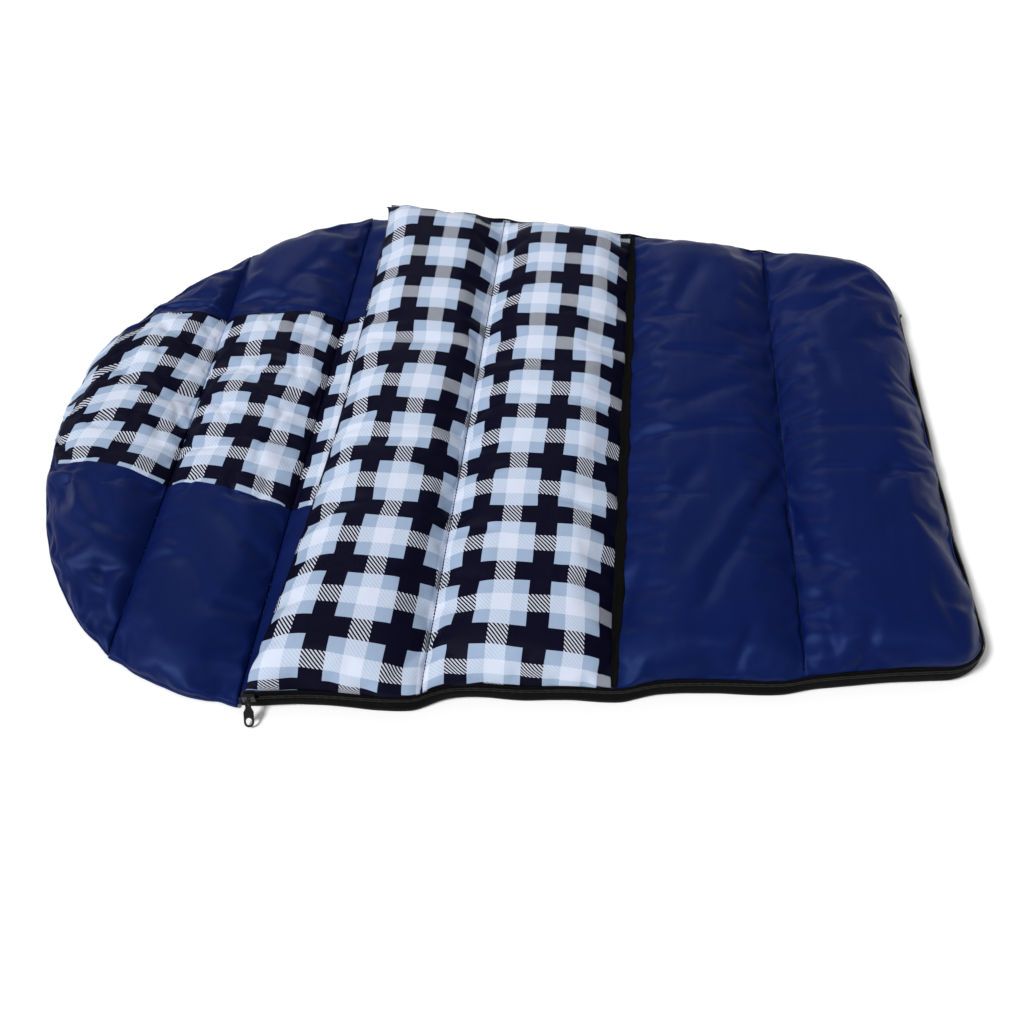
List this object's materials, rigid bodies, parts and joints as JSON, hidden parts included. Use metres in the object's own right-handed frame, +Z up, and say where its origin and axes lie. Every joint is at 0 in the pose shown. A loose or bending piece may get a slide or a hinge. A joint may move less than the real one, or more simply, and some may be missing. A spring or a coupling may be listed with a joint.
{
  "type": "rectangular sleeping bag",
  "caption": "Small quilted sleeping bag with a rounded hood, plaid and navy cloth, and a zip down one side and round the foot.",
  "frame": {"origin": "on the ground, under the centre of the bag's bounding box, with the bag closed and lying flat", "axes": "+X towards the foot, +Y towards the folded side, -Y towards the zip, +Z up"},
  "size_m": [1.1114, 0.8404, 0.052],
  "materials": {
    "navy_shell": "satin woven nylon",
    "plaid_cloth": "plaid woven cloth",
    "wadding": "white polyester wadding",
    "black_tape": "black woven tape and moulded coil",
    "blackened_metal": "black enamel"
  },
  "bodies": {
    "base": {"base_shell": "navy_shell", "base_lining_plaid": "plaid_cloth", "base_lining_near": "navy_shell", "base_lining_far": "navy_shell", "base_fill_1": "wadding", "base_fill_2": "wadding", "base_fill_3": "wadding", "base_fill_4": "wadding", "base_quilting_thread_1": "black_tape", "base_quilting_thread_2": "black_tape", "base_quilting_thread_3": "black_tape", "side_gusset": "navy_shell", "zip_tape_lower": "black_tape", "zip_coil_lower": "black_tape", "zip_top_stop": "blackened_metal", "zip_bottom_box": "blackened_metal"},
    "hood": {"hood_shell": "navy_shell", "hood_lining_plaid": "plaid_cloth", "hood_lining_near": "navy_shell", "hood_lining_far": "navy_shell", "hood_fill_1": "wadding", "hood_binding_near": "navy_shell", "hood_binding_far": "navy_shell"},
    "hood_tip": {"hood_tip_shell": "navy_shell", "hood_tip_lining_plaid": "plaid_cloth", "hood_tip_lining_near": "navy_shell", "hood_tip_lining_far": "navy_shell", "hood_tip_fill_1": "wadding", "hood_tip_binding": "navy_shell"},
    "cover": {"cover_panel_plaid": "plaid_cloth", "cover_panel_navy": "navy_shell", "cover_lining": "navy_shell", "cover_fill_1": "wadding", "cover_fill_2": "wadding", "cover_fill_3": "wadding", "cover_fill_4": "wadding", "cover_quilting_thread_1": "black_tape", "cover_quilting_thread_2": "black_tape", "panel_piping": "black_tape", "mouth_hem": "plaid_cloth", "zip_tape_upper": "black_tape", "zip_coil_upper": "black_tape"},
    "slider": {"zip_slider": "blackened_metal", "slider_bail": "blackened_metal"},
    "pull": {"pull_tab": "blackened_metal"}
  },
  "joints": [
    {"name": "cover_open", "type": "hinge", "parent": "base", "child": "cover", "pos_m": [-0.222, 0.41472, 0.026], "axis": [-0.996, 0.0899, 0], "range_deg": [0, 178], "deforming": ["side_gusset"]},
    {"name": "hood_lift", "type": "hinge", "parent": "base", "child": "hood", "pos_m": [-0.243, 0.0102, 0.0078], "axis": [0, 1, 0], "range_deg": [0, 90]},
    {"name": "hood_tip_fold", "type": "hinge", "parent": "hood", "child": "hood_tip", "pos_m": [-0.402, 0.0102, 0.0078], "axis": [0, 1, 0], "range_deg": [0, 90]},
    {"name": "zipper_slide", "type": "slide", "parent": "base", "child": "slider", "axis": [0.9892, 0.1467, 0], "range_m": [0, 0.7]},
    {"name": "pull_swing", "type": "hinge", "parent": "slider", "child": "pull", "pos_m": [-0.22737, -0.40131, 0.0215], "axis": [-0.9892, -0.1467, 0], "range_deg": [0, 90]}
  ]
}
